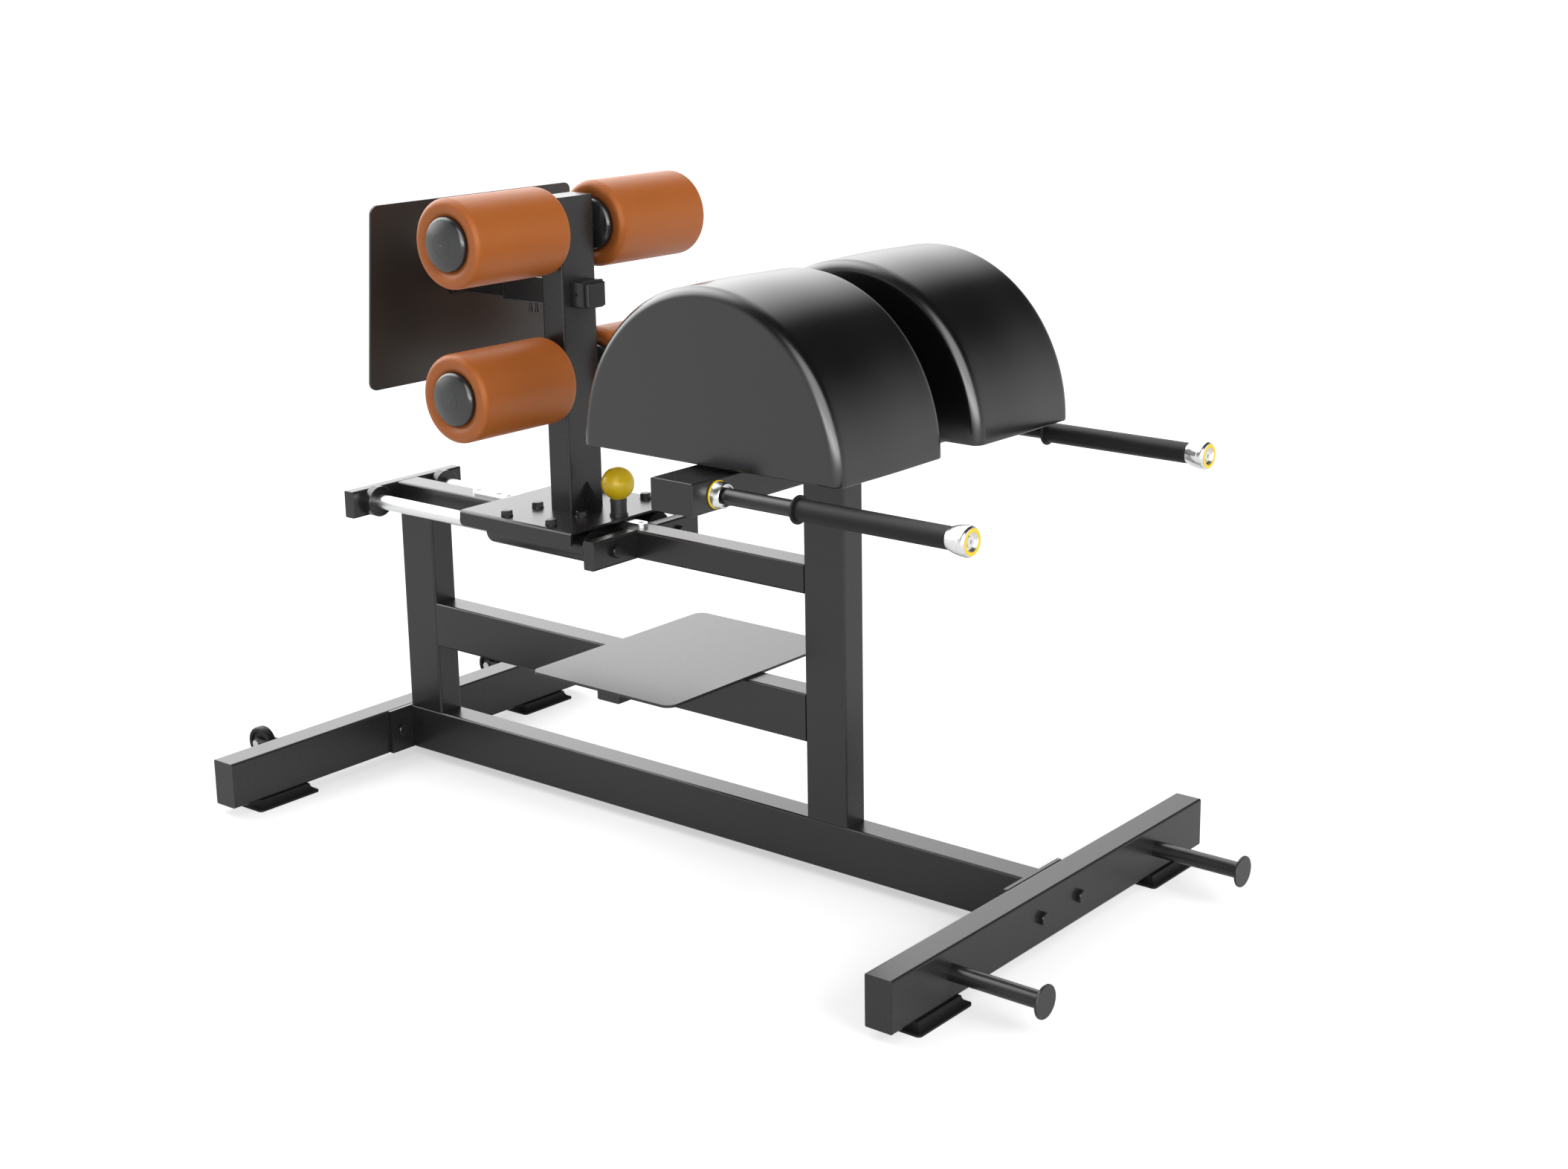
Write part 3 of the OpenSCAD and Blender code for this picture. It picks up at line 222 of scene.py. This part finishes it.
def dress(material, *names):
    """Gives CAD nodes this material."""
    for name in names:
        piece = nodes[name]
        piece.data.materials.clear()
        piece.data.materials.append(material)


frame_paint = finish("charcoal_powder_coat", (0.021, 0.021, 0.0215), 0.27, bump=0.03, IOR=1.5)
dress(frame_paint, "rear_crossbar", "front_crossbar", "tube_end_caps", "base_rail",
      "rail_flanges", "rear_post", "front_post", "mid_rail", "upper_rail")

# Frame bolts: hexagon bolts that clamp the flanges of the base rail to the crossbars, the end
# bolts of the guide rods and the sunk screws of the strip. They look painted with the frame.
dress(frame_paint, "frame_bolts")

# Feet: blocks of moulded black rubber with slanted flanks and a fine matt texture. Each is held
# under the end of a crossbar by two zinc plated screws.
rubber = finish("black_rubber", (0.01, 0.01, 0.0105), 0.5, bump=0.1, grain=1400.0,
                Specular_IOR_Level=0.25)
zinc = finish("zinc_plate", (0.62, 0.63, 0.65), 0.3, spread=0.08, bump=0.02, Metallic=1.0)
dress(rubber, "feet")
dress(zinc, "frame_screws")

# Guide rods and locating strip: ground and hard chromed steel. The rods are bolted between beams
# that are welded to the upper rail, and have a stop collar at the rear, both coated like the
# frame. The strip is screwed to the top of the rail.
chrome = finish("hard_chrome", (0.88, 0.885, 0.89), 0.3, spread=0.02, bump=0.004, Metallic=1.0)
dress(chrome, "guide_rods", "locating_strip")
dress(frame_paint, "rear_rod_beam", "front_rod_beams", "rod_collars")

# Storage pegs and step: round steel pegs with a disc on the end, welded to the front crossbar, and
# a flat steel plate with round corners, screwed from below to two stubs on the middle rail. They
# are coated like the frame.
dress(frame_paint, "storage_pegs", "step_plate", "step_supports")

# Transport wheels: black rubber on zinc plated axles, in steel forks that are welded to the rear
# crossbar and coated with it.
dress(rubber, "wheel_near", "wheel_far")
dress(zinc, "wheel_axles")
dress(frame_paint, "wheel_forks")

# Pad support: a steel tube welded across the front post and coated with it, and a black painted
# plywood board under each pad, held by long bolts of black oxide steel.
oxide = finish("black_oxide", (0.012, 0.012, 0.013), 0.32, bump=0.03)
dress(frame_paint, "pad_cross_tube")
dress(oxide, "pad_boards", "pad_bolts")


# Thigh pads: moulded foam on a board under satin black vinyl, half round, with a rolled edge at
# each end and a flat underside. The skin is taut and has no piping.
def smooth_piece(name, points, faces):
    """A smooth shaded piece of these points and faces."""
    mesh = bpy.data.meshes.new(name)
    mesh.from_pydata(points.tolist(), [], faces)
    mesh.polygons.foreach_set("use_smooth", np.ones(len(mesh.polygons), bool))
    piece = bpy.data.objects.new(name, mesh)
    bpy.context.scene.collection.objects.link(piece)
    return piece


def ring_mesh(name, rings, first, last):
    """A closed mesh over rings of points, an array of rows, round and three. Each quad joins
    neighbouring points of neighbouring rings, and triangles join the first and the last ring to
    their poles."""
    rows, around, _ = rings.shape
    points = np.concatenate([rings.reshape(-1, 3), [first, last]])
    row = np.arange(rows - 1)[:, None] * around
    here = np.arange(around)[None, :]
    ahead = (here + 1) % around
    quads = np.stack([row + here, row + around + here, row + around + ahead, row + ahead], -1)
    end = (rows - 1) * around
    pole = np.full(around, rows * around)
    first_fan = np.stack([pole, here[0], ahead[0]], 1)
    last_fan = np.stack([pole + 1, end + ahead[0], end + here[0]], 1)
    faces = quads.reshape(-1, 4).tolist() + first_fan.tolist() + last_fan.tolist()
    return smooth_piece(name, points, faces)


def pad_surface(name, cad_node):
    """D outlines, side by side along the width of the pad. Each is half an ellipse over a flat
    foot, with a small round corner at each side. Over the depth of the roll from an end, the
    outline is inset along a quarter circle, and towards the middle of the pad it swells. The side
    panel is the last outline, shrunk to its centre and raised by the crown."""
    low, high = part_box(cad_node)
    swell, crown, roll, corner = 0.002, 0.002, 0.022, 0.003
    centre_share = 0.42
    innermost, outermost = 0.12, 0.96
    roll_rows, flat_rows, panel_rows = 18, 8, 7
    arc_points, corner_points, foot_points = 118, 6, 12
    reach = (high.x - low.x) / 2 - swell
    rise = high.z - low.z - swell
    half = (high.y - low.y) / 2

    # One entry for each outline: its depth from the end of the pad, its inset, and the lift of its
    # foot where the edge under the roll is round.
    turn = np.linspace(math.pi / 2, 0, roll_rows)
    flat = np.linspace(0, 1, flat_rows + 1)[1:]
    depth = np.concatenate([crown + roll * (1 - np.sin(turn)),
                            crown + roll + (half - crown - roll) * flat])
    inset = np.concatenate([roll * (1 - np.cos(turn)), -swell * np.sin(flat * math.pi / 2) ** 2])
    edge = np.clip(corner - (depth - crown), 0, corner)
    lift = corner - np.sqrt(corner ** 2 - edge ** 2)

    # Each outline: the right corner, the arc, the left corner and the foot.
    arc = np.linspace(0, math.pi, arc_points + 2)[1:-1]
    bend = np.linspace(-math.pi / 2, 0, corner_points)
    foot = np.linspace(-1, 1, foot_points + 2)[1:-1]
    wide = reach - inset[:, None]
    tall = rise - inset[:, None] - corner
    drop = corner - lift[:, None]
    x = np.concatenate([wide - corner + corner * np.cos(bend), wide * np.cos(arc),
                        -wide + corner - corner * np.cos(bend[::-1]), (wide - corner) * foot], 1)
    z = np.concatenate([corner + drop * np.sin(bend), corner + tall * np.sin(arc),
                        corner + drop * np.sin(bend[::-1]), lift[:, None] + 0 * wide * foot], 1)
    y = np.repeat(depth[:, None], x.shape[1], 1)

    # The side panel, and then the other half of the pad by mirroring.
    shrink = np.linspace(innermost, outermost, panel_rows)[:, None]
    centre = rise * centre_share
    x = np.concatenate([shrink * x[:1], x])
    z = np.concatenate([centre + shrink * (z[:1] - centre), z])
    y = np.concatenate([crown * shrink ** 2 * (2 - shrink ** 2) + 0 * y[:1], y])
    rings = np.stack([x, y - half, z], -1)
    other_half = rings[-2::-1] * np.array([1, -1, 1])
    middle = (low + high) / 2
    place = np.array([middle.x, middle.y, low.z])
    rings = np.concatenate([rings, other_half]) + place
    return ring_mesh(name, rings, place + (0, -half, centre), place + (0, half, centre))


vinyl = finish("black_vinyl", (0.004, 0.004, 0.0045), 0.22, spread=0.1, grain=1200.0, bump=0.03,
               IOR=1.7)
for side in ("near", "far"):
    pad = pad_surface("thigh_pad_" + side, "pad_" + side)
    pad.data.materials.append(vinyl)
    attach(pad, "frame")
    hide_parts("pad_" + side)

# Carriage: a folded steel plate, bolted by eight black bolts to two housings that slide on the
# rods with nylon bushes. The column with its lid and the square sleeve through it are welded on,
# and coated like the frame. The sleeve has nylon liners and two clamp screws.
nylon = finish("black_nylon", (0.02, 0.02, 0.021), 0.4, bump=0.05)
dress(frame_paint, "carriage_plate", "bearing_housings", "column", "column_cap", "foot_sleeve")
dress(oxide, "saddle_bolts", "clamp_screws")
dress(nylon, "rod_bushes", "sleeve_liners")

# Roller cores: a tube with two domed hubs of glossy dark grey nylon. Two cores turn on each zinc
# plated axle, which goes through the column, between black nylon collars.
hub_gloss = finish("hub_gloss", (0.024, 0.025, 0.027), 0.22, bump=0.0, IOR=1.65)
dress(hub_gloss, "roller_core_un", "roller_core_uf", "roller_core_ln", "roller_core_lf")
dress(zinc, "roller_axles")
dress(nylon, "axle_collars")


# Roller covers: thick foam sleeves under tan upholstery, pulled over the cores, with a rounded rim
# and dished ends that run in under the domed hubs.
def loop_mesh(name, rings):
    """A closed mesh over rings of points, with the last ring joined to the first."""
    rows, around, _ = rings.shape
    row = np.arange(rows)[:, None] * around
    onward = (np.arange(rows)[:, None] + 1) % rows * around
    here = np.arange(around)[None, :]
    ahead = (here + 1) % around
    quads = np.stack([row + here, row + ahead, onward + ahead, onward + here], -1)
    return smooth_piece(name, rings.reshape(-1, 3), quads.reshape(-1, 4).tolist())


def roller_surface(name, cad_node):
    """A profile of distance along the axle and radius, turned once round it: the bore, the foot of
    the end under the hub, an arc that rises from there, a quarter circle at the rim, the straight
    outside, and the same again for the other half."""
    low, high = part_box(cad_node)
    middle = (low + high) / 2
    outer = (high.z - low.z) / 2
    half = (high.y - low.y) / 2
    edge, slope, hub, bore = 0.014, 0.03, 0.055, 0.0312
    sink, under_hub = 0.008, 0.001
    fall_rows, rim_rows, side_rows, around = 8, 14, 5, 128
    fall = np.linspace(math.asin((outer - edge - hub) / slope), 0, fall_rows + 1)[:-1]
    rim = np.linspace(0, math.pi / 2, rim_rows)
    y = np.concatenate([[-sink, -sink], slope * (np.cos(fall) - 1), edge * (np.cos(rim) - 1),
                        np.linspace(-edge, -half, side_rows + 1)[1:]]) + half
    r = np.concatenate([[bore, hub - under_hub], outer - edge - slope * np.sin(fall),
                        outer - edge + edge * np.sin(rim), np.full(side_rows, outer)])
    y = np.concatenate([y, -y[-2::-1]])
    r = np.concatenate([r, r[-2::-1]])
    angle = np.linspace(0, 2 * math.pi, around, endpoint=False)
    rings = np.stack([middle.x + r[:, None] * np.cos(angle),
                      np.repeat((middle.y + y)[:, None], around, 1),
                      middle.z + r[:, None] * np.sin(angle)], -1)
    return loop_mesh(name, rings)


leather = finish("tan_leather", (0.46, 0.128, 0.022), 0.42, spread=0.18, grain=420.0, bump=0.4,
                 mottle=0.65, Specular_IOR_Level=0.4)
for key, words in (("un", "upper_near"), ("uf", "upper_far"), ("ln", "lower_near"),
                   ("lf", "lower_far")):
    cover = roller_surface("roller_sleeve_" + words, "roller_cover_" + key)
    cover.data.materials.append(leather)
    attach(cover, "roller_" + words)
    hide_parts("roller_cover_" + key)

# Foot plate: flat steel plate with round corners, coated in a darker grey. The brown tint of its
# colour is a painted reflection of the tan rollers. Four black bolts hold it to the flange of a
# square tube, which is coated like the frame and slides in the sleeve up to a black nylon stop.
foot_plate_paint_and_reflection = finish("foot_plate_paint_and_reflection", (0.034, 0.028, 0.024), 0.3, bump=0.02, IOR=1.5)
dress(foot_plate_paint_and_reflection, "foot_plate")
dress(frame_paint, "foot_plate_tube")
dress(oxide, "foot_plate_bolts")
dress(nylon, "foot_tube_stop")

# Locating pin: a zinc plated steel pin with a screwed on ball of glossy yellow plastic. It slides
# in a black nylon barrel that stands on the carriage plate, and drops into the strip.
yellow = finish("yellow_gloss", (1.0, 0.7, 0.012), 0.3, spread=0.03, bump=0.004)
dress(yellow, "ball_knob")
dress(zinc, "plunger_pin")
dress(nylon, "plunger_barrel")


# Plunger spring: a coil of zinc plated wire between the collar of the pin and the roof of the
# barrel, built at its rest length.
def spring_rings(low, high, wire, turns):
    """A small circle of wire, carried along a helix that climbs from low to high."""
    rings_per_turn, wire_points = 24, 10
    along = np.linspace(0, 1, turns * rings_per_turn + 1)[:, None]
    climb = 2 * math.pi * turns * along
    round_wire = np.linspace(0, 2 * math.pi, wire_points, endpoint=False)[None, :]
    middle = (low + high) / 2
    reach = (high.x - low.x) / 2 - wire + wire * np.cos(round_wire)
    rise = high.z - low.z - 2 * wire
    return np.stack([middle.x + reach * np.cos(climb), middle.y + reach * np.sin(climb),
                     low.z + wire + rise * along + wire * np.sin(round_wire)], -1)


spring_low, spring_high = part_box("plunger_spring")
wire_radius, spring_turns = 0.0011, 6
coils = spring_rings(spring_low, spring_high, wire_radius, spring_turns)
spring = ring_mesh("plunger_coil", coils, coils[0].mean(0), coils[-1].mean(0))
spring.data.materials.append(zinc)
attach(spring, "carriage")
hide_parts("plunger_spring")
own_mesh(spring)

# Handles: tubes of black oxide steel that stand out from the pad support, with a soft black grip
# of moulded rubber, and a ring of glossy yellow plastic at the root and in the end.
dress(oxide, "handle_bars")
dress(rubber, "handle_grips")
dress(yellow, "yellow_rings")


# Handle ends: turned and polished aluminium. Each handle has a sleeve at its root and a flared end
# with a seat for the yellow ring, a bowl and a small centre hole. Both are pushed on and glued.
def lathe(name, outline, place):
    """An outline of distance along x and radius, turned once round the x axis through place. An
    outline that runs from axis to axis is closed with a pole at each end, and any other is a
    loop. Edges of more than 30 degrees stay sharp."""
    sharp_angle, around = 30, 96
    outline = np.array(outline)
    angle = np.linspace(0, 2 * math.pi, around, endpoint=False)[None, :]
    solid = outline[0, 1] == 0
    body = outline[1:-1] if solid else outline
    along, radius = body[:, :1], body[:, 1:]
    rings = np.stack([place[0] + along + 0 * angle, place[1] + radius * np.cos(angle),
                      place[2] + radius * np.sin(angle)], -1)
    if solid:
        ends = [np.array(place) + (outline[k, 0], 0, 0) for k in (0, -1)]
        piece = ring_mesh(name, rings, ends[0], ends[1])
    else:
        piece = loop_mesh(name, rings)
    piece.data.set_sharp_from_angle(angle=math.radians(sharp_angle))
    return piece


# The back of the flare is an arc from the slim start to the wide edge, with a fine groove. The
# outline of the flare runs from the floor of the centre hole over the boss round it, the bowl, the
# seat of the ring, the rounded edge and the back to the bore for the tube.
handle_bore, bore_depth = 0.01505, 0.0316
flare_len, flare_edge, flare_wide, flare_slim = 0.0426, 0.0066, 0.027, 0.02
flare_back = flare_len - flare_edge
widening = flare_wide - flare_slim
bow = (flare_back ** 2 + widening ** 2) / (2 * widening)
groove_start, groove_end, groove_radius = 0.028, 0.0287, 0.0262
before_groove, after_groove, edge_points = 14, 6, 10
bow_x = np.concatenate([np.linspace(0, groove_start, before_groove), [groove_start, groove_end],
                        np.linspace(groove_end, flare_back, after_groove)])
bow_r = flare_wide - bow + np.sqrt(bow ** 2 - (bow_x - flare_back) ** 2)
bow_r[before_groove:before_groove + 2] = groove_radius
edge_turn = np.linspace(0, math.pi / 2, edge_points + 2)[1:-1][::-1]
hole_floor, hole_radius = 0.0346, 0.0032
bowl_floor, bowl_radius = 0.0376, 0.0168
boss_face, boss_radius = 0.0396, 0.01
seat_floor, seat_inner, seat_outer = 0.0409, 0.0169, 0.0233
flare_outline = [(hole_floor, 0), (hole_floor, hole_radius),
                 (boss_face, hole_radius), (boss_face, boss_radius),
                 (bowl_floor, boss_radius), (bowl_floor, bowl_radius),
                 (flare_len, bowl_radius), (flare_len, seat_inner),
                 (seat_floor, seat_inner), (seat_floor, seat_outer), (flare_len, seat_outer)]
flare_outline += zip(flare_back + flare_edge * np.sin(edge_turn),
                     flare_wide - flare_edge + flare_edge * np.cos(edge_turn))
flare_outline += zip(bow_x[::-1], bow_r[::-1])
flare_outline += [(0, handle_bore), (bore_depth, handle_bore), (bore_depth, 0)]

# The sleeve is a short cone with a chamfered edge, a dished front and the bore for the tube.
root_len, cone_len, dish_floor = 0.018, 0.016, 0.011
cone_back, cone_front, chamfer_front = 0.0245, 0.0226, 0.0214
dish_outer, dish_inner = 0.02, 0.0192
root_outline = [(0, cone_back), (cone_len, cone_front), (root_len, chamfer_front),
                (root_len, dish_outer), (dish_floor, dish_inner),
                (dish_floor, handle_bore), (0, handle_bore)]

aluminium = finish("turned_aluminium", (0.86, 0.865, 0.87), 0.22, spread=0.03, bump=0.01,
                   Metallic=1.0)
fitting_low, fitting_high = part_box("handle_fittings")
handle_height = (fitting_low.z + fitting_high.z) / 2
handle_side = fitting_high.y - flare_wide
flare_start = fitting_high.x - flare_len
for side, y in (("near", -handle_side), ("far", handle_side)):
    flare = lathe("handle_flare_" + side, flare_outline, (flare_start, y, handle_height))
    root = lathe("handle_root_" + side, root_outline, (fitting_low.x, y, handle_height))
    for fitting in (flare, root):
        fitting.data.materials.append(aluminium)
        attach(fitting, "frame")
        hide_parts("handle_fittings")
